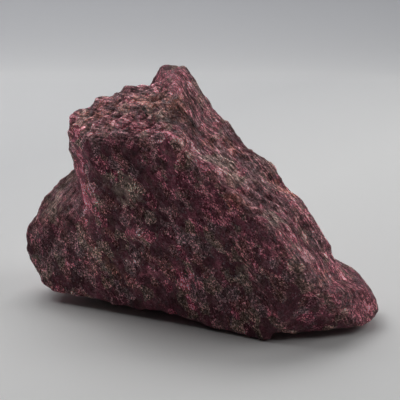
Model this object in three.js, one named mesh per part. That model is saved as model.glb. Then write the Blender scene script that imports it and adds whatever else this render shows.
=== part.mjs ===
// A rough lump of rhodonite, broken from the rock and never cut or polished.
// Units are millimetres, +Z is up. +X runs from the stone's blunt left lobe to its pointed right tip,
// and the broad dark face looks along -Y. The origin is at the bottom centre of its box.
//
// The surface is measured outwards from a point deep inside, the heart.
// Four convex blocks of fracture planes give the large form: the body, the left lobe, the right tip and the top knob.
// Their rims are worn round, and the relief of the broken surface is laid over them:
// single lumps and pits, broken layers on two faces, a slow swell, and the small shell-shaped chips.

import * as THREE from "three";
import { mergeVertices } from "three/addons/utils/BufferGeometryUtils.js";

// Driving sizes, mm
const HEART = new THREE.Vector3(-1.96, -0.7, 36); // the point that every reach is measured from
const EDGE_WEAR = 50; // a higher number leaves sharper edges between the planes of a block
const JOINT_WEAR = 120; // the same for the valleys where two blocks meet
const TRIANGLE_ROWS = 20; // subdivisions of each side of the icosahedron that the mesh grows from
const NET_STRETCH = new THREE.Vector3(1.35, 0.8, 0.9); // spreads the mesh's vertices over the long shape

const SWELL = { wide: 19, wideHeight: 1.1, narrow: 8, narrowHeight: 0.8 };
const CHIPS = { size: 11, depth: 1.7, mean: 0.3 };
const UNDERSIDE_CALM = 0.6; // share of that relief that is missing below

// A fracture plane faces an azimuth and an elevation in degrees and lies at a reach in mm from the heart.
// Azimuth 0 faces -Y, and 90 faces +X.
const plane = (azimuth, elevation, reach) => {
  const a = THREE.MathUtils.degToRad(azimuth);
  const e = THREE.MathUtils.degToRad(elevation);
  const facing = new THREE.Vector3(
    Math.sin(a) * Math.cos(e),
    -Math.cos(a) * Math.cos(e),
    Math.sin(e),
  );
  return { facing, reach };
};

// Planes that more than one block shares, because one break ran through both
const front = plane(-24, 0, 17.3);
const frontRight = plane(12, -4, 38.5);
const back = plane(176, 12, 28);
const backLow = plane(-172, -38, 38);
const base = plane(0, -90, 36.6);
const underLeft = plane(-44, -82, 35.9);
const underRight = plane(87, -86, 36.6);
const rightBack = plane(130, 22, 26.6);
const shell = [front, frontRight, back, backLow, base, underLeft, underRight];
const rightSide = [
  plane(60, 52, 25.2), // the long slope down from the knob
  plane(68, 36, 31.4), // its steeper foot
  rightBack,
  plane(-166, 50, 40.6), // the top's far side
];

const BLOCKS = [
  // body
  [
    ...shell,
    ...rightSide,
    plane(-34, 50, 34.7), // top facet
    plane(-82, -9, 38.2), // left wall, leaning out a little
    plane(-52, 0, 29.6), // narrow upright bevel between the wall and the front
    plane(-130, -2, 38),
    plane(38, 22, 38.2), // worn ridge between the slope's foot and the front
  ],
  // left lobe, lower than the body
  [
    ...shell,
    ...rightSide,
    plane(-31, 7, 19.2),
    plane(-95, -14, 64),
    plane(-98, -50, 57.2),
    plane(-48, 40, 21.9), // its flat top, which runs back under the body's wall
    plane(-128, 24, 46.6),
  ],
  // right tip
  [
    ...shell,
    plane(81, 68, 1.9),
    plane(84, 37, 33.4),
    plane(165, -81, 32.8),
    plane(106, -26, 65.4),
    plane(35, 35, 30), // two breaks across its front
    plane(50, 20, 44.6),
    plane(146, 20, 21),
    plane(-90, 0, 12),
  ],
  // top knob
  [
    ...shell,
    plane(-77, 31, 28.8),
    plane(0, 52, 32),
    plane(20, 80, 43.4),
    plane(69, 31, 17.8),
    rightBack,
    plane(-90, 0, 20),
  ],
];

// A lump or pit: its place from the heart, how far it spreads along each axis, and its height, all in mm
const lump = (at, spread, height) => ({
  at: new THREE.Vector3(...at),
  spread: new THREE.Vector3(...spread),
  height,
});

const LUMPS = [
  lump([23, -30, -34], [4, 4, 4], 1.6), // foot at the bottom of the front
  lump([32, -27, -32], [6, 6, 5], -1.4), // notch beside it
  lump([-26, -8, 9], [9, 7, 17], -1.5), // long hollow behind the upright bevel
  lump([-19, -11, -5], [6, 5, 2.8], 1.5), // small ledge in the middle of the front
  lump([-20, -11, -10], [6, 5, 2.6], -1.3), // the step under it
  lump([19, -28, -21], [4.5, 4, 5], -1.6), // pit low in the front
  lump([0, -20, -20], [10, 6, 5], 0.9),
  lump([5, -21, 12], [9, 6, 5], -0.8),
  lump([-4, -7, 35], [3, 5, 4], -1.4), // crevice below the knob
  lump([14, -3, 22], [7, 3, 4], -1.2), // two crevices on the slope
  lump([32, -6, 9], [6, 3, 8], -1.4),
  lump([40, -4, -2], [6, 8, 7], 1.3),
  lump([-36, -2, 3], [4, 5, 7], 1.0), // pale boss on the bevel
  lump([-58, 11, -8], [5, 5, 5], -1.3), // corner of the lobe
  lump([-37, 10, 34], [4, 6, 5], -2.2), // uneven skyline, from left to right
  lump([-27, 10, 39], [5, 6, 4], -1.0),
  lump([-20, 9, 41], [4, 5, 3], 0.9),
  lump([15, 6, 25], [6, 6, 6], -1.2),
  lump([29, 2, 13], [6, 6, 6], 1.1),
  lump([49, -10, -13], [5, 6, 4], -1.3),
  lump([-44, 12, 12], [5, 10, 7], -2.2), // corner between the lobe and the body's wall
  lump([-58, 14, -9], [5, 6, 6], -1.0),
  lump([-11, 19, 45], [2.5, 5, 2.5], 1.2), // sides of the knob
  lump([0, 17, 44], [3, 5, 4], -0.9),
  lump([6, 16, 34], [3, 5, 4], 1.2),
  lump([22, 5, 18], [4, 5, 4], 0.9), // bulges down the slope's skyline
  lump([38, -3, 3], [7, 6, 7], 1.1),
  lump([52, -4, -16.5], [4, 7, 4], -2.4), // the tip's root, top and end
  lump([60, -5, -23], [3, 5, 3.5], -0.9),
  lump([62, -12, -30], [4, 7, 4.5], 1.5),
  lump([28.5, -30, -34.5], [3, 4, 4], -1.2), // lower edge of the front
  lump([-8, -14, -34], [10, 5, 5], -1.2),
  lump([-17, 26, -28], [14, 9, 9], 2.2), // back of the stone
  lump([11, 28, -2], [15, 9, 13], -2.6),
  lump([-22, 24, 14], [12, 9, 5], 1.8),
  lump([34, 16, -20], [9, 8, 8], -1.8),
];

// Broken layers: each rises slowly over a pitch and drops at once, across one direction
const SLOPE_LAYERS = {
  across: new THREE.Vector3(-0.42, 0.78, -0.46).normalize(),
  pitch: 7.5,
  height: 1.5,
  wander: 3,
  seed: 11,
};
const LOBE_LAYERS = {
  across: new THREE.Vector3(0.3, 0.9, 0.3).normalize(),
  pitch: 6.5,
  height: 0.9,
  wander: 2,
  seed: 12,
};
const slopeFacing = plane(64, 44, 0).facing;

const smoothstep = THREE.MathUtils.smoothstep;

// A number from 0 to 1 for each corner of a unit lattice
function chance(x, y, z, seed) {
  const wave = Math.sin(x * 127.1 + y * 311.7 + z * 74.7 + seed * 19.19);
  const value = Math.abs(wave) * 43758.5453;
  return value - Math.floor(value);
}

// Smooth noise from -1 to 1 at a point measured in lattice cells
function noise(p, seed) {
  const cell = p.clone().floor();
  const f = p.clone().sub(cell);
  const ease = (t) => t * t * t * (t * (t * 6 - 15) + 10);
  let total = 0;
  for (const dx of [0, 1])
    for (const dy of [0, 1])
      for (const dz of [0, 1]) {
        const share =
          (dx ? ease(f.x) : 1 - ease(f.x)) *
          (dy ? ease(f.y) : 1 - ease(f.y)) *
          (dz ? ease(f.z) : 1 - ease(f.z));
        total += share * chance(cell.x + dx, cell.y + dy, cell.z + dz, seed);
      }
  return total * 2 - 1;
}

// Squared distance to the nearest scattered point: round hollows with sharp rims between them
function hollows(p, seed) {
  const cell = p.clone().floor();
  const corner = new THREE.Vector3();
  const point = new THREE.Vector3();
  let nearest = Infinity;
  for (const dx of [-1, 0, 1])
    for (const dy of [-1, 0, 1])
      for (const dz of [-1, 0, 1]) {
        corner.set(cell.x + dx, cell.y + dy, cell.z + dz);
        point.set(
          chance(corner.x, corner.y, corner.z, seed + 1),
          chance(corner.x, corner.y, corner.z, seed + 2),
          chance(corner.x, corner.y, corner.z, seed + 3),
        );
        nearest = Math.min(nearest, point.add(corner).distanceToSquared(p));
      }
  return nearest;
}

// How far a block reaches in one direction, with its edges worn round
function blockReach(planes, direction) {
  const scale = 50;
  let push = 0;
  for (const { facing, reach } of planes)
    push += Math.max((scale * direction.dot(facing)) / reach, 0) ** EDGE_WEAR;
  return scale / push ** (1 / EDGE_WEAR);
}

// The blocks joined: the farthest one wins, with the valleys filled a little
function formReach(direction) {
  const scale = 50;
  let total = 0;
  for (const planes of BLOCKS)
    total += (blockReach(planes, direction) / scale) ** JOINT_WEAR;
  return scale * total ** (1 / JOINT_WEAR);
}

function layers(q, { across, pitch, height, wander, seed }) {
  const warp = wander * noise(q.clone().divideScalar(14), seed);
  const along = (q.dot(across) + warp) / pitch;
  const f = along - Math.floor(along);
  return height * (Math.min(f, (1 - f) * 4) - 0.4);
}

// Height in mm that the broken surface adds at a point, q, measured from the heart
function relief(q) {
  let height = 0;
  for (const { at, spread, height: rise } of LUMPS)
    height += rise * Math.exp(-q.clone().sub(at).divide(spread).lengthSq());
  height += smoothstep(q.dot(slopeFacing), 21, 26) * layers(q, SLOPE_LAYERS);
  height += smoothstep(-q.x, 38, 44) * layers(q, LOBE_LAYERS);
  const wide = SWELL.wideHeight * noise(q.clone().divideScalar(SWELL.wide), 1);
  const narrow = SWELL.narrowHeight * noise(q.clone().divideScalar(SWELL.narrow), 2);
  const chip = CHIPS.depth * (hollows(q.clone().divideScalar(CHIPS.size), 21) - CHIPS.mean);
  const underside = smoothstep(-q.z, 26, 34);
  return height + (1 - UNDERSIDE_CALM * underside) * (wide + narrow + chip);
}

// The stone: an even net of directions pushed out to the surface, and rested on the floor
function stoneGeometry() {
  const net = new THREE.IcosahedronGeometry(1, TRIANGLE_ROWS);
  net.deleteAttribute("normal");
  net.deleteAttribute("uv");
  const geometry = mergeVertices(net, 1e-4);
  const position = geometry.getAttribute("position");
  const direction = new THREE.Vector3();
  const q = new THREE.Vector3();
  for (let i = 0; i < position.count; i++) {
    direction.fromBufferAttribute(position, i).multiply(NET_STRETCH).normalize();
    q.copy(direction).multiplyScalar(formReach(direction));
    q.addScaledVector(direction, relief(q)).add(HEART);
    position.setXYZ(i, q.x, q.y, Math.max(q.z, 0)); // the spot that it rests on is flat
  }
  geometry.computeVertexNormals();
  return geometry;
}

const rhodonite = new THREE.MeshStandardMaterial({
  name: "rhodonite",
  color: 0x6b484b,
  roughness: 0.62,
  metalness: 0,
});

const stone = new THREE.Mesh(stoneGeometry(), rhodonite);
stone.name = "rhodonite_stone";

const part = new THREE.Group();
part.name = "raw_rhodonite";
part.add(stone);

export default part;
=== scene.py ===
# %% [markdown]
# # A rough rhodonite stone
# Rhodonite is a manganese silicate. As it comes from the rock it is a lump of interlocked crystals:
# a dark brown-purple ground with rose-pink patches, grey-green and tan ones, and rust along the cracks.
# This file builds such a stone around its solid model, one step for each cell, and then lights it.
# All lengths in the shape's formulas are millimetres; Blender gets metres.

import bpy
import numpy as np
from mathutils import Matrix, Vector


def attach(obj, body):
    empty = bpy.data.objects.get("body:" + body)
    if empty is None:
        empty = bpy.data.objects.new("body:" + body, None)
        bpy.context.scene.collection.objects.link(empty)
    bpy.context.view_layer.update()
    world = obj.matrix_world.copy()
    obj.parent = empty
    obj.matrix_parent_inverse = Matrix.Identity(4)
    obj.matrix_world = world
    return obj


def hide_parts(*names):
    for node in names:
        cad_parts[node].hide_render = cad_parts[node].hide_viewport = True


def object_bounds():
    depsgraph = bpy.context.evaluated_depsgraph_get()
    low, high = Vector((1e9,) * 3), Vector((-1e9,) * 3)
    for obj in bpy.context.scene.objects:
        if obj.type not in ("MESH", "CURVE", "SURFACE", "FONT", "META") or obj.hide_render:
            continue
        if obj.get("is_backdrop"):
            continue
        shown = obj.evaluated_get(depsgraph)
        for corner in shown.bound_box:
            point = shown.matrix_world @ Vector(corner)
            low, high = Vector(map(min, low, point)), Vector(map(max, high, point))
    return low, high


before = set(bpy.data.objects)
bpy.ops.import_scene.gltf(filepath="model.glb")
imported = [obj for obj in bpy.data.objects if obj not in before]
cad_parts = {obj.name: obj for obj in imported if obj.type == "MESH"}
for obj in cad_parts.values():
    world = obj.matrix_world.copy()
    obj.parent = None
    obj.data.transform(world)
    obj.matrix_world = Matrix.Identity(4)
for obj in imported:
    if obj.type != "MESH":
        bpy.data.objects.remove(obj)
cad_low, cad_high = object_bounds()
MM = 0.001
print("solid model, mm:", [round(v / MM, 1) for v in cad_high - cad_low])

# %% [markdown]
# ## Directions
# Every plane of the stone is named by where it faces, the way a geologist would note a rock face:
# a compass angle and a tilt. Azimuth 0 faces the viewer (-Y), 90 faces right (+X).
# The camera's place is named by the same two angles.


# %% A unit vector from two angles
def facing(azimuth, elevation):
    """Sine and cosine of the azimuth, shortened by the cosine of the elevation, with its sine as height."""
    a, e = np.radians(azimuth), np.radians(elevation)
    return np.array([np.sin(a) * np.cos(e), -np.cos(a) * np.cos(e), np.sin(e)])


# %% [markdown]
# ## Camera
# The picture looks down on the stone at about 18 degrees through a long lens, which keeps the verticals
# nearly parallel. A short lens close by would swell the front foot and shrink the knob.

# %% The camera
LENS_MM = 100
AIM = np.array([1.0, -6.7, 41.4])
DISTANCE = 378
VIEW = facing(0, 18)

camera_data = bpy.data.cameras.new("camera")
camera_data.lens = LENS_MM
camera_data.sensor_width = 36
camera_data.clip_start, camera_data.clip_end = 0.01, 10
camera = bpy.data.objects.new("camera", camera_data)
camera.location = (AIM + DISTANCE * VIEW) * MM
camera.rotation_mode = "QUATERNION"
camera.rotation_quaternion = Vector(-VIEW).to_track_quat("-Z", "Y")
bpy.context.scene.collection.objects.link(camera)
bpy.context.scene.camera = camera
print("camera at, mm:", np.round(np.array(camera.location) / MM).tolist())

# %% [markdown]
# ## A mesh from arrays
# numpy works out all points of a surface at once. Blender takes such arrays through foreach_set,
# which is hundreds of times faster than a Python loop over the vertices.


# %% Helper: mesh from points and four-sided faces
def mesh_object(name, points_mm, quads):
    """A smooth-shaded mesh, given its points in mm and four point numbers for each face."""
    mesh = bpy.data.meshes.new(name)
    mesh.vertices.add(len(points_mm))
    mesh.vertices.foreach_set("co", (points_mm * MM).astype(np.float32).ravel())
    mesh.loops.add(quads.size)
    mesh.loops.foreach_set("vertex_index", quads.astype(np.int32).ravel())
    mesh.polygons.add(len(quads))
    mesh.polygons.foreach_set("loop_start", np.arange(0, quads.size, 4, dtype=np.int32))
    mesh.polygons.foreach_set("use_smooth", np.ones(len(quads), dtype=bool))
    mesh.update(calc_edges=True)
    made = bpy.data.objects.new(name, mesh)
    bpy.context.scene.collection.objects.link(made)
    print(name, len(points_mm), "points,", len(quads), "faces")
    return made


# %% [markdown]
# ## Studio floor
# The stone stands on a seamless sheet: flat under it, then bent up in a quarter circle far behind.
# The bend hides the line between table and wall. The fade of the ground from light to a cooler grey is
# painted shade in the paper's colour.
# One profile swept sideways makes it, with no seam to hide.

# %% The sweep
SWEEP_BACK = 388  # where the sheet starts to bend up, behind the stone
SWEEP_RADIUS = 160
SWEEP_HALF = 2500
SWEEP_TOP = 2200

quarter = np.linspace(0, np.pi / 2, 25)
wall_y = SWEEP_BACK + SWEEP_RADIUS
profile_y = np.concatenate([[-SWEEP_HALF, -600, 0], SWEEP_BACK + SWEEP_RADIUS * np.sin(quarter), [wall_y]])
profile_z = np.concatenate([[0, 0, 0], SWEEP_RADIUS * (1 - np.cos(quarter)), [SWEEP_TOP]])
side = np.array([-SWEEP_HALF, SWEEP_HALF])
across, along = np.meshgrid(side, np.arange(len(profile_y)), indexing="xy")
sweep_points = np.stack([across, profile_y[along], profile_z[along]], -1).reshape(-1, 3)
row = np.arange(len(profile_y) - 1) * 2
sweep_quads = np.stack([row, row + 1, row + 3, row + 2], -1)
sweep = mesh_object("studio_sweep", sweep_points, sweep_quads)
sweep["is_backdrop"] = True

# %% [markdown]
# ## Short words for nodes
# A finish is a tree of nodes. Wiring each one takes three lines of bpy, so a few helpers say the same in one.
# Those that take no tree add to the one that was opened last.


# %% Helpers for node trees
LOW_SHINE = 0.2


def shader(name):
    """A new material with an empty tree, and that tree."""
    material = bpy.data.materials.new(name)
    material.use_nodes = True
    tree = material.node_tree
    tree.nodes.clear()
    return material, tree


def wire(tree, socket, value):
    """Links the socket to another node's, or gives it a plain value."""
    if isinstance(value, bpy.types.NodeSocket):
        tree.links.new(value, socket)
    else:
        socket.default_value = value


def put(tree, kind, **settings):
    """Adds a node. A setting that names an input sets or wires it; any other is a property of the node."""
    node = tree.nodes.new(kind)
    inputs = {}
    for key, value in settings.items():
        if hasattr(node, key) and key not in ("Color", "Scale"):
            setattr(node, key, value)
        else:
            inputs[key] = value
    for key, value in inputs.items():
        numbered = key[0] == "i" and key[1:].isdigit()
        wire(tree, node.inputs[int(key[1:]) if numbered else key], value)
    return node


def math(operation, a, b=0.0, c=0.0):
    return put(tree, "ShaderNodeMath", operation=operation, i0=a, i1=b, i2=c).outputs[0]


def steps(value, low, high, start=0.0, end=1.0, shape="SMOOTHSTEP"):
    """From the start to the end while the value goes from low to high, and level outside."""
    node = put(tree, "ShaderNodeMapRange", interpolation_type=shape, Value=value)
    for key, number in (("From Min", low), ("From Max", high), ("To Min", start), ("To Max", end)):
        node.inputs[key].default_value = number
    return node.outputs["Result"]


def mix(share, under, over):
    """The colour under, covered by the colour over as far as the share says."""
    node = put(tree, "ShaderNodeMix", data_type="RGBA", clamp_factor=True)
    for number, value in ((0, share), (6, under), (7, over)):
        wire(tree, node.inputs[number], value)
    return node.outputs[2]


def finish_surface(material, colour, **settings):
    """The one shader of a material, with little mirror shine, on the material's output."""
    surface = put(tree, "ShaderNodeBsdfPrincipled", **settings)
    wire(tree, surface.inputs["Base Color"], colour)
    surface.inputs["Specular IOR Level"].default_value = LOW_SHINE
    put(tree, "ShaderNodeOutputMaterial", Surface=surface.outputs["BSDF"])
    print(material.name, "has", len(tree.nodes), "nodes")


# %% [markdown]
# The sheet's paper is plain and matt. Its colour carries painted shade: the wall is painted darker and cooler
# than the floor, with a soft line where it starts to rise, and the floor is painted a little darker with
# distance, more so on the left.

# %% The paper, with painted shade
PAPER_FLOOR = (0.76, 0.76, 0.755, 1)
PAPER_WALL_IN_SHADE = (0.455, 0.462, 0.49, 1)
# The wall's painted shade fades in over this height, along this curve.
WALL_FADE = 0.063  # metres of height over which the wall reaches its full colour
WALL_FADE_POWER = 0.28
# The floor's painted shade grows towards the back and towards the left.
LEFTWARD = -1.2  # how far a step to the left counts as a step back
FAR_FLOOR = (0.08, 0.29)  # metres behind the stone between which the floor darkens
FAR_FLOOR_SHARE = 0.33

paper, tree = shader("studio_paper")
place = put(tree, "ShaderNodeTexCoord").outputs["Object"]
along_axis = put(tree, "ShaderNodeSeparateXYZ", Vector=place).outputs
wall_shade = math("POWER", steps(along_axis["Z"], 0.0, WALL_FADE, shape="LINEAR"), WALL_FADE_POWER)
slant = math("MULTIPLY_ADD", along_axis["X"], LEFTWARD, along_axis["Y"])
far_floor_shade = steps(slant, *FAR_FLOOR, 0.0, FAR_FLOOR_SHARE, shape="LINEAR")
# Painted shade: the larger of the wall's and the far floor's.
painted_paper_shade = math("MAXIMUM", wall_shade, far_floor_shade)
finish_surface(paper, mix(painted_paper_shade, PAPER_FLOOR, PAPER_WALL_IN_SHADE), Roughness=0.6)
sweep.data.materials.append(paper)

# %% [markdown]
# ## Light
# The top of the stone and its right slope are bright, the broad front is in soft shade, and the shadow falls
# towards the viewer and a little to the right. So two wide soft boxes hang behind the stone, one of them on
# the left, and a weaker one stands on the right, like the white wall of a light tent. One hangs above.


# %% Lamps
def soft_box(name, at_mm, size_mm, watts):
    """A lamp that is a lit rectangle, turned to face the stone's foot."""
    data = bpy.data.lights.new(name, "AREA")
    data.shape = "RECTANGLE"
    data.size, data.size_y = size_mm[0] * MM, size_mm[1] * MM
    data.energy = watts
    lamp = bpy.data.objects.new(name, data)
    lamp.location = Vector(at_mm) * MM
    lamp.rotation_mode = "QUATERNION"
    lamp.rotation_quaternion = (Vector((0, 0, 0)) - Vector(at_mm)).to_track_quat("-Z", "Y")
    bpy.context.scene.collection.objects.link(lamp)
    print(name, watts, "W")


soft_box("behind_left", (-400, 300, 650), (500, 400), 2.4)
soft_box("behind", (0, 450, 700), (600, 400), 2.65)
soft_box("above", (0, 100, 850), (500, 500), 0.25)
soft_box("right", (520, 0, 500), (400, 400), 1.1)

world = bpy.data.worlds.new("studio")
world.use_nodes = True
background = world.node_tree.nodes["Background"].inputs
background["Color"].default_value = (0.97, 0.98, 1.0, 1)
background["Strength"].default_value = 0.02
bpy.context.scene.world = world
bpy.context.scene.view_settings.view_transform = "Standard"

# %% [markdown]
# ## Large form
# A stone like this could be sculpted by hand, or scanned. Here it is measured outwards from a point inside,
# the heart, because a rough stone is mostly flat breaks: a block is the space behind all its fracture planes.
# In a direction d a plane that faces n at reach h is met at h / (n . d), so a block's surface is where the
# largest n . d / h is reached. Four blocks overlap: body, left lobe, right tip and top knob.
# A power sum in place of the largest value wears the edges round.

# %% Fracture planes: azimuth, elevation, reach in mm
HEART = np.array([-1.96, -0.7, 36])
EDGE_WEAR = 50
JOINT_WEAR = 120

FRONT, FRONT_RIGHT = (-24, 0, 17.3), (12, -4, 38.5)
BACK, BACK_LOW = (176, 12, 28), (-172, -38, 38)
BASE, UNDER_LEFT, UNDER_RIGHT = (0, -90, 36.6), (-44, -82, 35.9), (87, -86, 36.6)
RIGHT_BACK = (130, 22, 26.6)
SLOPE, SLOPE_LOW, SLOPE_FOOT, KNOB_RIGHT = (60, 52, 25.2), (68, 36, 31.4), (38, 22, 38.2), (69, 31, 17.8)
TOP_FACE, BEVEL, LOBE_TOP = (-34, 50, 34.7), (-52, 0, 29.6), (-48, 40, 21.9)
SHELL = [FRONT, FRONT_RIGHT, BACK, BACK_LOW, BASE, UNDER_LEFT, UNDER_RIGHT]
RIGHT_SIDE = [SLOPE, SLOPE_LOW, RIGHT_BACK, (-166, 50, 40.6)]

BODY = SHELL + RIGHT_SIDE + [TOP_FACE, (-82, -9, 38.2), BEVEL, (-130, -2, 38), SLOPE_FOOT]
LOBE = SHELL + RIGHT_SIDE
LOBE += [(-31, 7, 19.2), (-95, -14, 64), (-98, -50, 57.2), LOBE_TOP, (-128, 24, 46.6)]
TIP = SHELL + [(81, 68, 1.9), (84, 37, 33.4), (165, -81, 32.8), (106, -26, 65.4)]
TIP += [(35, 35, 30), (50, 20, 44.6), (146, 20, 21), (-90, 0, 12)]
KNOB = SHELL + [(-77, 31, 28.8), (0, 52, 32), (20, 80, 43.4), KNOB_RIGHT, RIGHT_BACK, (-90, 0, 20)]
BLOCKS = [BODY, LOBE, TIP, KNOB]
print("planes in each block:", [len(block) for block in BLOCKS])


# %% The reach of the joined blocks in each direction
TYPICAL_REACH = 50  # mm; dividing by it keeps the powers within what a float can hold


def block_reach(planes, d):
    """The power sum of n . d / h over the planes, turned over to give a length."""
    n = np.array([facing(a, e) for a, e, _ in planes])
    h = np.array([reach for *_, reach in planes])
    push = np.maximum(TYPICAL_REACH * d @ n.T / h, 0)
    return TYPICAL_REACH / (push**EDGE_WEAR).sum(1) ** (1 / EDGE_WEAR)


def form_reach(d):
    """The power sum of the blocks' reaches: the farthest block wins, and the valleys fill a little."""
    reach = np.array([block_reach(planes, d) for planes in BLOCKS])
    return TYPICAL_REACH * ((reach / TYPICAL_REACH) ** JOINT_WEAR).sum(0) ** (1 / JOINT_WEAR)


# %% [markdown]
# ## Chance that repeats
# Broken stone looks random, but the file has to make the same stone each time. A sine of large numbers gives
# each corner of a lattice its own fixed value. From those values come a smooth noise, and round hollows that
# meet in sharp rims, like the shell-shaped chips that brittle minerals leave.


# %% Noise and hollows
def chance(corner, seed):
    """The fraction that is left of a large multiple of a sine of the lattice corner: 0 to 1."""
    value = np.abs(np.sin(corner @ np.array([127.1, 311.7, 74.7]) + seed * 19.19)) * 43758.5453
    return value - np.floor(value)


def noise(p, seed):
    """The eight corners' values of a point's lattice cell, blended by a smooth weight: -1 to 1."""
    cell = np.floor(p)
    f = p - cell
    f = f**3 * (f * (f * 6 - 15) + 10)
    total = np.zeros(len(p))
    for corner in np.ndindex(2, 2, 2):
        share = np.where(corner, f, 1 - f).prod(1)
        total += share * chance(cell + np.array(corner), seed)
    return total * 2 - 1


def hollows(p, seed):
    """The squared distance to the nearest of one scattered point for each lattice cell."""
    cell = np.floor(p)
    nearest = np.full(len(p), np.inf)
    for step in np.ndindex(3, 3, 3):
        corner = cell + np.array(step) - 1
        point = corner + np.stack([chance(corner, seed + k) for k in (1, 2, 3)], -1)
        nearest = np.minimum(nearest, ((p - point) ** 2).sum(1))
    return nearest


# %% [markdown]
# ## Relief of the break
# Three kinds of relief lie on the large form. Single lumps and pits stand where the stone has them.
# Broken layers run down the right slope and over the lobe: each rises slowly and drops at once, as roof tiles
# do. A slow swell and the chips cover everything, and are calmer on the side that the stone lies on.

# %% Single lumps: place from the heart, spread along each axis, height, all in mm
LUMPS = {
    "front foot": ((23, -30, -34), (4, 4, 4), 1.6),
    "notch beside the foot": ((32, -27, -32), (6, 6, 5), -1.4),
    "long hollow in the front": ((-26, -8, 9), (9, 7, 17), -1.5),
    "small ledge": ((-19, -11, -5), (6, 5, 2.8), 1.5),
    "step under the ledge": ((-20, -11, -10), (6, 5, 2.6), -1.3),
    "low pit": ((19, -28, -21), (4.5, 4, 5), -1.6),
    "rose boss": ((0, -20, -20), (10, 6, 5), 0.9),
    "hollow below the ridge": ((5, -21, 12), (9, 6, 5), -0.8),
    "crevice below the knob": ((-4, -7, 35), (3, 5, 4), -1.4),
    "upper slope crevice": ((14, -3, 22), (7, 3, 4), -1.2),
    "lower slope crevice": ((32, -6, 9), (6, 3, 8), -1.4),
    "slope boss": ((40, -4, -2), (6, 8, 7), 1.3),
    "pale boss": ((-36, -2, 3), (4, 5, 7), 1.0),
    "lobe corner": ((-58, 11, -8), (5, 5, 5), -1.3),
    "skyline dip 1": ((-37, 10, 34), (4, 6, 5), -2.2),
    "skyline dip 2": ((-27, 10, 39), (5, 6, 4), -1.0),
    "skyline rise 1": ((-20, 9, 41), (4, 5, 3), 0.9),
    "skyline dip 3": ((15, 6, 25), (6, 6, 6), -1.2),
    "skyline rise 2": ((29, 2, 13), (6, 6, 6), 1.1),
    "saddle before the tip": ((49, -10, -13), (5, 6, 4), -1.3),
    "corner beside the lobe": ((-44, 12, 12), (5, 10, 7), -2.2),
    "shoulder of the lobe": ((-58, 14, -9), (5, 6, 6), -1.0),
    "left side of the knob": ((-11, 19, 45), (2.5, 5, 2.5), 1.2),
    "right side of the knob": ((0, 17, 44), (3, 5, 4), -0.9),
    "skyline rise 3": ((6, 16, 34), (3, 5, 4), 1.2),
    "skyline rise 4": ((22, 5, 18), (4, 5, 4), 0.9),
    "skyline rise 5": ((38, -3, 3), (7, 6, 7), 1.1),
    "root of the tip": ((52, -4, -16.5), (4, 7, 4), -2.4),
    "top of the tip": ((60, -5, -23), (3, 5, 3.5), -0.9),
    "end of the tip": ((62, -12, -30), (4, 7, 4.5), 1.5),
    "hollow beside the foot": ((28.5, -30, -34.5), (3, 4, 4), -1.2),
    "arch under the front": ((-8, -14, -34), (10, 5, 5), -1.2),
    "heel at the back": ((-17, 26, -28), (14, 9, 9), 2.2),
    "hollow at the back": ((11, 28, -2), (15, 9, 13), -2.6),
    "step at the back": ((-22, 24, 14), (12, 9, 5), 1.8),
    "hollow behind the tip": ((34, 16, -20), (9, 8, 8), -1.8),
}
print(len(LUMPS), "lumps and pits")


# %% Layers and the whole relief
def ease(x, low, high):
    """Zero below low, one above high, and a smooth rise between."""
    t = np.clip((x - low) / (high - low), 0, 1)
    return t * t * (3 - 2 * t)


def bell(q, at, spread):
    """A bell curve along each axis: one at the place, and a third of that at the spread's length."""
    return np.exp(-(((q - at) / np.array(spread)) ** 2).sum(1))


def layers(q, across, pitch, height, wander, seed):
    """A ramp with a steep drop, repeated across one direction and bent by noise."""
    across = np.array(across) / np.linalg.norm(across)
    along = (q @ across + wander * noise(q / 14, seed)) / pitch
    f = along - np.floor(along)
    return height * (np.minimum(f, (1 - f) * 4) - 0.4)


SLOPE_ACROSS, LOBE_ACROSS, TOP_ACROSS = (-0.42, 0.78, -0.46), (0.3, 0.9, 0.3), (-0.25, 0.85, 0.45)


def on_slope(q):
    """How far a point lies out along the way that the slope faces."""
    return ease(q @ facing(64, 44), 21, 26)


def on_lobe(q):
    """How far left a point lies."""
    return ease(-q[:, 0], 38, 44)


def on_top(q):
    """How far a point lies out along the way that the top faces, off the slope."""
    return ease(q @ facing(*TOP_FACE[:2]), 29, 33) * (1 - on_slope(q))


def relief(q):
    """Lumps as bell curves, plus the layers on the slope and the lobe, plus swell and chips."""
    height = np.zeros(len(q))
    for at, spread, rise in LUMPS.values():
        height += rise * bell(q, at, spread)
    height += on_slope(q) * layers(q, SLOPE_ACROSS, 7.5, 1.5, 3, 11)
    height += on_lobe(q) * layers(q, LOBE_ACROSS, 6.5, 0.9, 2, 12)
    broken = 1.1 * noise(q / 19, 1) + 0.8 * noise(q / 8, 2) + 1.7 * (hollows(q / 11, 21) - 0.3)
    return height + (1 - 0.6 * ease(-q[:, 2], 26, 34)) * broken


# %% [markdown]
# The solid model holds the relief down to about the size of a fingernail. The render adds what is finer:
# chips and facets a few millimetres wide, thin splinter layers, and the sugary grain of the crystals.
# They are about a millimetre high at most, so the size stays as it is. Worn faces and the tip have fewer
# chips, and two low rises make the tip's end blunt.

# %% Finer relief
CHIP_MM, CHIP_HEIGHT = 4.4, 1.3
FACET_MM, FACET_HEIGHT = 1.9, 0.6
GRAIN_MM, GRAIN_HEIGHT = 0.9, 0.12
RIM = 0.42  # the level in the hollows' pattern that stays on the surface


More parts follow.
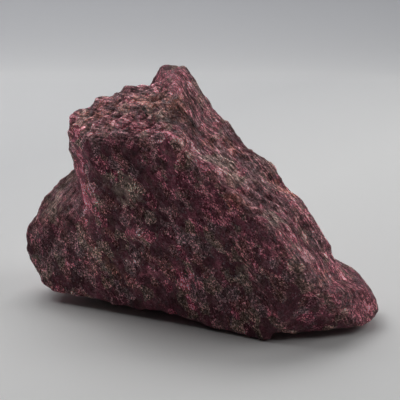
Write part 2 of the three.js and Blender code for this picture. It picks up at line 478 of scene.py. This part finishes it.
def fine_relief(q):
    """Chips and facets from hollows, thin layers, the two rises at the tip, and grain from noise."""
    calm = 1 - 0.5 * np.maximum(on_slope(q), on_lobe(q))
    calm *= 1 - 0.8 * bell(q, (61, -14, -27), (7, 10, 7))
    chips = CHIP_HEIGHT * calm * (hollows(q / CHIP_MM, 31) - RIM)
    facets = FACET_HEIGHT * calm * (hollows(q / FACET_MM, 41) - RIM)
    thin = on_slope(q) * layers(q, SLOPE_ACROSS, 2.6, 0.9, 2.2, 13)
    thin += on_lobe(q) * layers(q, LOBE_ACROSS, 2.1, 0.3, 1.6, 14)
    thin += on_top(q) * layers(q, TOP_ACROSS, 4.4, 1.1, 3.2, 15)
    blunt_end = 1.4 * bell(q, (62, -11, -26.5), (5, 8, 3.5)) + 1.5 * bell(q, (58, -20, -32.5), (5, 5, 4))
    return chips + facets + thin + blunt_end + GRAIN_HEIGHT * noise(q / GRAIN_MM, 5)


# %% [markdown]
# ## Net of directions
# A ball of meridians would crowd its points at two poles. The net is a cube blown up to a ball instead:
# six square grids of directions, spaced evenly in angle, and stretched over the long stone.
# The grids share their edge points, so the surface is closed with no seam.

# %% Six grids made one net
SIDE = 128
STRETCH = np.array([1.35, 0.8, 0.9])

step = np.tan(np.linspace(-np.pi / 4, np.pi / 4, SIDE + 1))
u, v = (grid.ravel() for grid in np.meshgrid(step, step, indexing="ij"))
one = np.ones_like(u)
patches = [(one, u, v), (-one, v, u), (v, one, u), (u, -one, v), (u, v, one), (v, u, -one)]
cube = np.concatenate([np.stack(square, -1) for square in patches])
corner = np.arange((SIDE + 1) ** 2).reshape(SIDE + 1, SIDE + 1)
around = [corner[:-1, :-1], corner[1:, :-1], corner[1:, 1:], corner[:-1, 1:]]
one_patch = np.stack(around, -1).reshape(-1, 4)
patch_quads = np.concatenate([one_patch + k * corner.size for k in range(6)])
_, first, weld = np.unique(cube.round(6), axis=0, return_index=True, return_inverse=True)
quads = weld.reshape(-1)[patch_quads]
directions = cube[first] * STRETCH
directions /= np.linalg.norm(directions, axis=1)[:, None]

q_form = directions * form_reach(directions)[:, None]
fine_height = fine_relief(q_form)
height = relief(q_form) + fine_height
points = HEART + (q_form + directions * height[:, None])
points[:, 2] = np.maximum(points[:, 2], 0)
stone = mesh_object("rhodonite", points, quads)
print("stone, mm:", points.min(0).round(1).tolist(), points.max(0).round(1).tolist())

# %% [markdown]
# ## Chart for the surface
# The six grids lie side by side on one sheet, three across and two up, with a gap between them.
# Nothing in the material needs it, but a program that paints the finish on the stone later does.

# %% The map OFBake
GAP = 0.01
uv_map = stone.data.uv_layers.new(name="OFBake")
cell_u, cell_v = np.divmod(np.arange(corner.size), SIDE + 1)
local = np.stack([cell_u, cell_v], -1) / SIDE
chart_size = np.array([1 / 3, 1 / 2])
origins = [np.array([k % 3 / 3, k // 3 / 2]) for k in range(6)]
charts = np.concatenate([origin + GAP + local * (chart_size - 2 * GAP) for origin in origins])
uv_map.data.foreach_set("uv", charts[patch_quads.ravel()].astype(np.float32).ravel())
print("chart from", charts.min().round(3), "to", charts.max().round(3))

# %% [markdown]
# ## Mineral patches
# Which mineral shows where is part of this stone's character, so each patch has a place, spread and strength.
# Noise bends the patches so that none is a plain oval. The masks are stored on the points for the material.

# %% Patches: place from the heart, spread in mm, strength
ROSE = [
    ((-7, 9, 45), (9, 9, 6), 0.85),
    ((-22, -5, 32), (8, 5, 2.5), 0.9),
    ((-38, 4, 29), (6, 6, 4), 0.5),
    ((-38, 5, 16), (4, 6, 10), 0.8),
    ((-36, 0, 4), (4, 6, 8), 0.9),
    ((-46, 4, -6), (8, 5, 3), 0.8),
    ((-20, -11, -5), (5, 4, 3), 1.0),
    ((-1, -19, -20), (7, 5, 4), 0.8),
    ((-16, -12, -20), (5, 4, 4), 0.6),
    ((-41, -1, -19), (5, 5, 4), 0.6),
    ((57, -17, -25), (11, 12, 8), 0.95),
    ((53, -13, -18), (6, 8, 5), 0.5),
    ((4, 3, 31), (7, 7, 5), 0.7),
    ((25, -1, 15), (9, 5, 6), 0.5),
    ((39, -9, 1), (6, 6, 7), 0.6),
    ((46, -10, -10), (5, 7, 5), 0.6),
    ((29, -29, -3), (8, 6, 7), 0.6),
    ((-58, 12, -22), (7, 9, 12), 0.5),
    ((20, 20, 10), (16, 12, 12), 0.6),
    ((-35, 26, -10), (14, 9, 12), 0.6),
]
PLUM = [
    ((-13, -13, 21), (7, 5, 5), 0.7),
    ((-4, -17, 16), (8, 5, 5), 0.9),
    ((5, -21, 11), (7, 5, 5), 1.0),
    ((12, -24, 6), (7, 5, 5), 0.9),
    ((19, -27, 1), (6, 5, 5), 0.8),
    ((-26, -7, 25), (8, 5, 4), 0.6),
    ((10, -24, -12), (7, 5, 6), 0.5),
    ((44, -28, -24), (8, 6, 5), 0.5),
    ((10, 28, -12), (12, 8, 12), 0.6),
]
OLIVE = [
    ((-22, -8, 10), (7, 5, 6), 1.0),
    ((-27, -6, 14), (4, 4, 4), 0.7),
    ((-36, -2, 2), (4, 4, 4), 0.5),
    ((16, -27, -14), (6, 5, 5), 0.7),
    ((-9, -7, 35), (5, 5, 4), 0.9),
    ((8, -12, 22), (6, 5, 5), 0.8),
    ((13, -13, 18), (6, 5, 4), 0.9),
    ((28, -25, 3), (6, 6, 5), 0.7),
    ((28, 0, 14), (9, 8, 8), 0.6),
    ((-51, 10, -4), (9, 9, 7), 0.5),
    ((-20, -2, 37), (11, 6, 3), 0.6),
    ((-28, -7, -18), (6, 5, 5), 0.5),
    ((0, 28, 20), (14, 9, 10), 0.6),
]
RUST = [
    ((-16, 1, 38), (12, 9, 4), 0.9),
    ((-34, 7, 34), (9, 8, 4), 0.7),
    ((-2, -4, 35), (5, 6, 5), 0.9),
    ((5, -8, 26), (4, 4, 5), 0.6),
    ((17, -24, 10), (6, 4, 4), 0.8),
    ((-28, -8, -20), (6, 4, 6), 0.5),
    ((43, -24, -13), (7, 6, 5), 0.6),
    ((33, -2, 8), (8, 6, 8), 0.6),
    ((15, 2, 24), (7, 6, 6), 0.6),
]

CREVICES = [
    ((-5, -1, 38), (5, 5, 6), 1.0),
    ((0, -4, 33), (5, 5, 5), 1.0),
    ((4, -8, 26), (5, 4, 5), 0.9),
    ((-12, -3, 35), (5, 4, 3), 0.9),
    ((16, 5, 22), (3, 4, 4), 0.9),
    ((27, -2, 12), (4, 3, 4), 0.9),
    ((33, -4, 6), (4, 3, 5), 0.8),
    ((42, -10, -4), (4, 4, 6), 0.8),
    ((12, -12, 19), (5, 4, 4), 0.6),
]

# %% [markdown]
# Some places are paler or darker all over. This is partly the stone's own tone and partly painted light and
# shade:
# painted shade in the crevices under the knob, on the ridge down from it, on the tip's top and on the lobe's
# lower face.
# Brightness is told in doublings: plus one is twice as bright, minus one is half.

# %% Brightness, partly painted light and shade: place from the heart, spread in mm, doublings
TONE_AND_PAINTED_LIGHT = [
    ((-38, 4, 29), (6, 6, 3), 0.5),
    ((-29, -3, 29.5), (8, 5, 2.4), 0.4),
    ((-17, -9, 29.5), (8, 5, 2.4), 0.3),
    ((-9, -14, 30.5), (5, 5, 4), 0.6),
    ((-1, -19, 24.5), (6, 5, 4), 0.5),
    ((8, -21, 18.5), (6, 5, 4), 0.4),
    ((18, -21, 11), (6, 5, 4), 0.3),
    ((38, -26, -8), (7, 6, 5), 0.4),
    ((25, -31, -1), (7, 5, 7), 0.7),
    ((26, -32, -10), (6, 5, 6), 0.6),
    ((-49, 13, 2), (5, 5, 5), -0.4),
    ((-56, 9, -9), (5, 5, 4), 0.5),
    ((-15, -12, 15), (5, 5, 5), 0.6),
    ((3, -20, 1), (4, 5, 5), 0.8),
    ((-6, -16, -19), (4, 5, 6), 0.5),
    ((-6, -17, 25), (6, 5, 4), 0.9),
    ((14, -7, 20), (5, 5, 5), -0.6),
    ((27, -22, 5), (6, 5, 5), -0.8),
    ((-38, 5, 16), (4, 6, 9), 0.5),
    ((-36, 0, 4), (4, 6, 7), 0.9),
    ((-20, -11, -5), (5, 4, 2.5), 0.9),
    ((-23, -8, 11), (6, 5, 5), 0.4),
    ((-16, -12, -20), (5, 4, 4), 0.5),
    ((-2, -18, -19), (7, 5, 4), 0.4),
    ((56, -16, -23), (9, 12, 6), -0.8),
    ((43, -29, -23), (6, 5, 4), 0.4),
    ((-26, -7, 22), (10, 5, 4), -0.6),
    ((-16, -11, 21), (6, 5, 5), -0.4),
    ((2, -19, 13), (8, 5, 3.5), -0.4),
    ((-5, -16, 3), (9, 6, 9), -0.3),
    ((-1, -4, 34), (6, 5, 6), -1.3),
    ((5, -8, 26), (4, 4, 5), -1.0),
    ((-51, 5, -19), (10, 8, 8), -0.9),
    ((29, -31, -16), (9, 6, 5), -0.5),
    ((18, -27, -20), (6, 5, 6), -0.6),
    ((-33, -5, -24), (10, 6, 5), -0.4),
    ((40, -4, -2), (10, 8, 9), 0.32),
    ((-7, 9, 45), (8, 9, 6), 0.15),
]


def bend(q, seed):
    """Each point moved by two sizes of noise."""
    wide = np.stack([noise(q / 7, seed + k) for k in range(3)], -1)
    narrow = np.stack([noise(q / 2.4, seed + 5 + k) for k in range(3)], -1)
    return q + 2.6 * wide + 1.2 * narrow


def patch_mask(q, patches, seed):
    """One minus the product of what each bell curve leaves over."""
    q = bend(q, seed)
    left = np.ones(len(q))
    for at, spread, strength in patches:
        left *= 1 - strength * bell(q, at, spread)
    return 1 - left


def store(name, values):
    """Keeps one number for each point of the stone, under a name that the material reads."""
    made = stone.data.attributes.new(name, "FLOAT", "POINT")
    made.data.foreach_set("value", values.astype(np.float32))
    print(name, "from", values.min().round(2), "to", values.max().round(2))


store("rose", patch_mask(q_form, ROSE, 50))
store("plum", patch_mask(q_form, PLUM, 80))
store("olive", patch_mask(q_form, OLIVE, 60))
store("crevices", patch_mask(q_form, CREVICES, 95))
store("rust", patch_mask(q_form, RUST, 70))

# %% [markdown]
# Whole faces differ too. The slope, the top and the lobe's top are old breaks, worn and drawn out in streaks,
# and they end sharply at their edges. A point is on a face when it is close enough to the face's plane.


# %% Faces
FACE_EDGE = 1.4


def on_face(q, plane, near=0.6):
    """One where the plane is nearer than the given length in mm, and none beyond it by the edge's width."""
    azimuth, elevation, reach = plane
    away = np.abs(q @ facing(azimuth, elevation) - reach + 0.5 * noise(q / 2.5, 35))
    return ease(near - away, -FACE_EDGE, 0)


slope_face = np.max([on_face(q_form, plane) for plane in (SLOPE, SLOPE_LOW, SLOPE_FOOT, KNOB_RIGHT)], 0)
top_face = on_face(q_form, TOP_FACE) * (1 - slope_face)
lobe_face = on_face(q_form, LOBE_TOP, near=1.6) * on_lobe(q_form)
bevel_face = on_face(q_form, BEVEL)
store("slope", slope_face)
store("top", top_face)
store("lobe", lobe_face)
# The listed spots' brightness, with their painted light and shade.
tone = sum(doublings * bell(bend(q_form, 90), at, spread) for at, spread, doublings in TONE_AND_PAINTED_LIGHT)
# Painted light and shade by face, with some of the worn faces' own paleness: the top, the slope and the left
# bevel painted brighter and the lobe's top darker, by how they face the lamps.
tone += 0.16 * slope_face + 0.25 * top_face - 0.15 * lobe_face + 0.45 * bevel_face
store("tone", tone)
# For painted light and shade: how far each point of the fine relief stands up or lies low.
store("rise", np.clip((fine_height - fine_height.mean()) / (2 * fine_height.std()), -1, 1))

# %% [markdown]
# ## Finish: a mosaic of crystals
# Close up, the stone is a mosaic of broken crystals, from half a millimetre to four millimetres wide.
# The cell pattern does this well: each cell is one crystal with a chance tone and kind of its own.
# A crystal also breaks along its own flat plane. So the group puts out a height that is tilted a different
# way in each cell, which makes single grains flash in the light. A slow noise bends the cells' borders.


# %% Group: crystal grains
def new_group(name, inputs, outputs):
    """An empty group with named sockets, and its two end nodes."""
    group = bpy.data.node_groups.new(name, "ShaderNodeTree")
    for label, kind, value in inputs:
        made = group.interface.new_socket(label, in_out="INPUT", socket_type=kind)
        if value is not None:
            made.default_value = value
    for label, kind in outputs:
        group.interface.new_socket(label, in_out="OUTPUT", socket_type=kind)
    return group, group.nodes.new("NodeGroupInput"), group.nodes.new("NodeGroupOutput")


MIDDLE_COLOUR = (0.5, 0.5, 0.5)

grains, given, result = new_group(
    "crystal_grains",
    [("Vector", "NodeSocketVector", None), ("Size mm", "NodeSocketFloat", 1.5)],
    [("Tone", "NodeSocketFloat"), ("Kind", "NodeSocketFloat"), ("Facet", "NodeSocketFloat")],
)
size_mm = given.outputs["Size mm"]
size_m = put(grains, "ShaderNodeMath", operation="MULTIPLY", i0=size_mm, i1=MM).outputs[0]
per_metre = put(grains, "ShaderNodeMath", operation="DIVIDE", i0=1.0, i1=size_m).outputs[0]


def vector_math(operation, a, b, output="Vector"):
    """One step of vector arithmetic inside the grains' group."""
    return put(grains, "ShaderNodeVectorMath", operation=operation, i0=a, i1=b).outputs[output]


wobble = put(grains, "ShaderNodeTexNoise", Vector=given.outputs["Vector"], Detail=2.0)
wire(grains, wobble.inputs["Scale"], per_metre)
shift = vector_math("SUBTRACT", wobble.outputs["Color"], MIDDLE_COLOUR)
shift = put(grains, "ShaderNodeVectorMath", operation="SCALE", i0=shift, i3=size_m).outputs[0]
bent = vector_math("ADD", given.outputs["Vector"], shift)
cells = put(grains, "ShaderNodeTexVoronoi", Vector=bent)
wire(grains, cells.inputs["Scale"], per_metre)
parts = put(grains, "ShaderNodeSeparateColor", i0=cells.outputs["Color"])
away = vector_math("SUBTRACT", bent, cells.outputs["Position"])
tilt = vector_math("SUBTRACT", cells.outputs["Color"], MIDDLE_COLOUR)
wire(grains, result.inputs["Tone"], parts.outputs[0])
wire(grains, result.inputs["Kind"], parts.outputs[1])
wire(grains, result.inputs["Facet"], vector_math("DOT_PRODUCT", away, tilt, output="Value"))
print(grains.name, "has", len(grains.nodes), "nodes")

# %% [markdown]
# The rock was squeezed once, so its crystals lie flattened between the layers. A Mapping node turns the
# pattern's space until the direction across the layers is its own Z, and squeezes it along there. With a
# stretch in place of the squeeze, the same node makes the fibres of the worn faces further down.

# %% The turned spaces
SQUEEZE = 1.7
rhodonite, tree = shader("rhodonite_rough")
at = put(tree, "ShaderNodeTexCoord").outputs["Object"]


def drawn_out(direction, stretch):
    """The space turned so that the direction is its own Z, and stretched along it."""
    node = put(tree, "ShaderNodeMapping", vector_type="TEXTURE", Vector=at)
    turn = Vector((0, 0, 1)).rotation_difference(Vector(direction))
    node.inputs["Rotation"].default_value = turn.to_euler()
    node.inputs["Scale"].default_value = (1, 1, stretch)
    return node.outputs["Vector"]


squeezed = drawn_out(SLOPE_ACROSS, 1 / SQUEEZE)


# %% Short words for this stone's patterns
def attribute(name):
    """A number that is stored on the stone's points."""
    return put(tree, "ShaderNodeAttribute", attribute_name=name).outputs["Fac"]


def cloud(size_mm, detail=4.0, roughness=0.6, space=None):
    """Noise about 0.5, in clouds of the given size."""
    node = put(tree, "ShaderNodeTexNoise", Vector=space or at, Detail=detail, Roughness=roughness)
    node.inputs["Scale"].default_value = 1000 / size_mm
    return node.outputs["Fac"]


def grain(size_mm):
    """The three values of the grains' group, for crystals of the given size."""
    node = put(tree, "ShaderNodeGroup", node_tree=grains)
    tree.links.new(squeezed, node.inputs["Vector"])
    node.inputs["Size mm"].default_value = size_mm
    return node.outputs


# %% [markdown]
# Every crystal of the ground is one of a few minerals, so a stepped colour ramp turns the cell's chance
# number into one of their colours. Neighbours don't blend, as they would with a smooth ramp.

# %% The ground: minerals of the mosaic
MINERALS = [
    (0.00, (0.095, 0.026, 0.038)),
    (0.20, (0.170, 0.048, 0.070)),
    (0.42, (0.230, 0.085, 0.085)),
    (0.54, (0.220, 0.128, 0.143)),
    (0.68, (0.265, 0.180, 0.146)),
    (0.82, (0.350, 0.080, 0.125)),
    (0.94, (0.420, 0.215, 0.230)),
]
coarse, middle, small, tiny = grain(5.0), grain(2.2), grain(1.0), grain(0.45)
small_cloud = cloud(4.5, 5, 0.65)


def mineral_ramp(kind):
    """The colour of the mineral whose share of the numbers the kind falls in."""
    node = put(tree, "ShaderNodeValToRGB", Fac=kind)
    ramp = node.color_ramp
    ramp.interpolation = "CONSTANT"
    while len(ramp.elements) < len(MINERALS):
        ramp.elements.new(0.5)
    for element, (start, colour) in zip(ramp.elements, MINERALS):
        element.position = start
        element.color = (*colour, 1)
    return node.outputs["Color"]


ground = mix(0.3, mineral_ramp(coarse["Kind"]), mineral_ramp(middle["Kind"]))

# %% [markdown]
# Over the ground lie the named patches: plum, tan and grey-green, rust, and rose. A patch's border follows
# the clouds and the grains, so it breaks up at its edge instead of fading out.


# %% The patches
def patch(name, under, dark, light, cloud_share, grain_share, start, end, strength):
    """A patch's two colours over what is under it, where its mask plus clouds and grains passes the start."""
    share = math("MULTIPLY_ADD", math("SUBTRACT", small_cloud, 0.5), cloud_share, attribute(name))
    share = math("MULTIPLY_ADD", math("SUBTRACT", middle["Tone"], 0.5), grain_share, share)
    share = math("MULTIPLY", steps(share, start, end), strength)
    return mix(share, under, mix(small["Kind"], (*dark, 1), (*light, 1)))


colour = patch("plum", ground, (0.19, 0.040, 0.068), (0.33, 0.080, 0.125), 1.0, 0.5, 0.3, 0.7, 0.85)
colour = patch("olive", colour, (0.20, 0.15, 0.115), (0.38, 0.315, 0.255), 1.2, 0.6, 0.3, 0.7, 0.8)
colour = patch("rust", colour, (0.33, 0.105, 0.075), (0.54, 0.22, 0.17), -1.2, 0.6, 0.3, 0.75, 0.8)
colour = patch("rose", colour, (0.32, 0.065, 0.10), (0.52, 0.18, 0.23), 1.1, 0.6, 0.35, 0.75, 0.85)

# %% [markdown]
# Two kinds of break lie side by side. Some large crystals split along one flat plane, which looks smooth and
# deep in colour. The rest broke through many small crystals, which looks like coarse sugar. The worn faces
# have few smooth crystals left.

# %% Smooth crystals and sugary places
DEEP_PLUM = (0.17, 0.062, 0.084, 1)
SMOOTHEST = 0.7  # one would leave no sugar at all on a smooth crystal
glassy = steps(math("MULTIPLY_ADD", small_cloud, 0.8, coarse["Kind"]), 0.74, 0.8, 1.0, 0.0)
worn = math("MAXIMUM", attribute("slope"), math("MAXIMUM", attribute("top"), attribute("lobe")))
glassy = math("MULTIPLY", glassy, math("MULTIPLY_ADD", worn, -0.8, 1.0))
glassy = math("MULTIPLY", glassy, SMOOTHEST)
sugary = math("SUBTRACT", 1.0, glassy)
colour = mix(math("MULTIPLY", glassy, 0.5), colour, DEEP_PLUM)

# %% [markdown]
# Each grain has its own brightness. Brightness works by factors, so the chance numbers of all grain sizes
# are added up as a power of two: one step up doubles the light that comes back. None goes below a set dark.

# %% Brightness of the grains
DARKEST_GRAIN = -0.9
fine = 0.0
for crystals, doublings in ((tiny, 4.4), (small, 1.3), (middle, 0.8)):
    fine = math("MULTIPLY_ADD", math("SUBTRACT", crystals["Tone"], 0.5), doublings, fine)
fine = math("MULTIPLY", fine, math("MULTIPLY_ADD", worn, -0.4, 1.0))
fine = math("MAXIMUM", math("MULTIPLY", fine, sugary), DARKEST_GRAIN)

# %% [markdown]
# On the worn faces the crystals are drawn out into fibres that run one way: down the slope on the right,
# level on the top, and up to the right on the lobe. The fibre pattern is a noise in a space that is stretched
# that way: a thin one, and a wide one that gathers the fibres in bands.

# %% Fibres
FIBRE_STRETCH = 4.5
DARKEST_FIBRE = -1.1
DOWN_SLOPE, LEVEL, UP_LOBE = (0.65, -0.335, -0.68), (0.85, -0.52, 0.05), (0.68, 0.29, 0.68)
FIBRES = [("slope", DOWN_SLOPE, 9.0, 5.0), ("top", LEVEL, 11.0, 3.0), ("lobe", UP_LOBE, 6.0, 3.0)]

for name, direction, thin, wide in FIBRES:
    space = drawn_out(direction, FIBRE_STRETCH)
    fibres = math("MULTIPLY", math("SUBTRACT", cloud(0.8, 2, 0.7, space), 0.48), thin)
    bands = math("MULTIPLY", math("SUBTRACT", cloud(3.0, 3, 0.6, space), 0.5), wide)
    fibres = math("MAXIMUM", math("ADD", fibres, bands), DARKEST_FIBRE)
    fine = math("MULTIPLY_ADD", fibres, attribute(name), fine)

# %% [markdown]
# Gaps open between the fibres, most of all in the crevices under the knob and along the slope's skyline;
# their darkness is painted shade.
# They are where a wider noise of the same kind is low.

# %% Gaps between the layers, with painted shade
long_clouds = cloud(2.0, 3, 0.55, drawn_out(DOWN_SLOPE, 8))
gaps = math("MULTIPLY_ADD", attribute("crevices"), -0.13, long_clouds)
gaps = math("MULTIPLY", steps(gaps, 0.27, 0.33, 1.0, 0.0), worn)

# %% [markdown]
# Wider clouds, the relief and the places' brightness are added, and all of it scales the colour. The relief
# adds painted light and shade: what stands up is painted brighter, what lies low darker, and the gaps get
# painted shade. Crushed crystal turns white, so the brightest grains are also paler in colour, and dust evens
# out the worn faces.

# %% The grains' brightness on the colour
CRUSHED = (0.29, 0.19, 0.205, 1)
DUST = (0.30, 0.135, 0.14, 1)
power = math("MULTIPLY_ADD", math("SUBTRACT", coarse["Tone"], 0.5), 0.5, fine)
clouds = math("MULTIPLY", math("SUBTRACT", small_cloud, 0.5), math("MULTIPLY_ADD", worn, -1.0, 2.2))
power = math("ADD", clouds, power)
# Painted light on what stands up, painted shade on what lies low.
power = math("MULTIPLY_ADD", attribute("rise"), 0.5, power)
# Painted shade in the gaps and crevices.
power = math("MULTIPLY_ADD", gaps, -2.3, power)
# Brightness by place, with its painted light and shade.
power = math("ADD", attribute("tone"), power)
chalky = steps(fine, 0.4, 2.6, 0.0, 0.3)
colour = mix(chalky, colour, CRUSHED)
colour = mix(math("MULTIPLY", worn, 0.3), colour, DUST)
brightness = math("POWER", 2.0, power)
scaled = put(tree, "ShaderNodeVectorMath", operation="SCALE", i0=colour, i3=brightness).outputs[0]

# %% [markdown]
# Last comes a veil of pale lilac specks, crushed crystal that lies in clusters between the smooth ones.

# %% Pale veil
LILAC = (0.54, 0.44, 0.48, 1)
VEIL_SHARE = 0.4
veil = steps(cloud(0.9, 3, 0.9), 0.53, 0.58)
veil = math("MULTIPLY", veil, steps(cloud(5, 4, 0.7), 0.48, 0.56))
veil = math("MULTIPLY", veil, sugary)
sparks = math("MULTIPLY", steps(tiny["Kind"], 0.93, 0.95), steps(cloud(6, 3, 0.6), 0.45, 0.55))
pale = math("MULTIPLY", math("MAXIMUM", veil, sparks), VEIL_SHARE)
colour = mix(pale, scaled, LILAC)

# %% [markdown]
# Crystals break with flat, glassy faces, so a few grains are much smoother than the rest and glint.
# The bump tilts every grain its own way. Its height is in metres, so the Bump node's distance is one.

# %% Roughness and bump
rough = steps(small["Tone"], 0.0, 1.0, 0.5, 0.75)
glint = steps(tiny["Kind"], 0.88, 0.92)
rough = math("MULTIPLY_ADD", glint, -0.3, rough)

GAP_DEPTH = 0.0005
lean = math("MULTIPLY", small["Facet"], 0.9)
lean = math("MULTIPLY_ADD", tiny["Facet"], 1.1, lean)
lean = math("MULTIPLY", lean, sugary)
lean = math("MULTIPLY_ADD", middle["Facet"], 0.4, lean)
lean = math("MULTIPLY_ADD", gaps, -GAP_DEPTH, lean)
bump = put(tree, "ShaderNodeBump", Height=lean, Strength=1.0, Distance=1.0)

finish_surface(rhodonite, colour, Roughness=rough, Normal=bump.outputs["Normal"])
stone.data.materials.append(rhodonite)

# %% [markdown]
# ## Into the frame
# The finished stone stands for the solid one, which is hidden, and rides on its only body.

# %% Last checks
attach(stone, "root")
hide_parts("rhodonite_stone")
low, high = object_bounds()
larger = np.array(high - low) - np.array(cad_high - cad_low)
print("visual box minus solid box, mm:", np.round(larger / MM, 2))
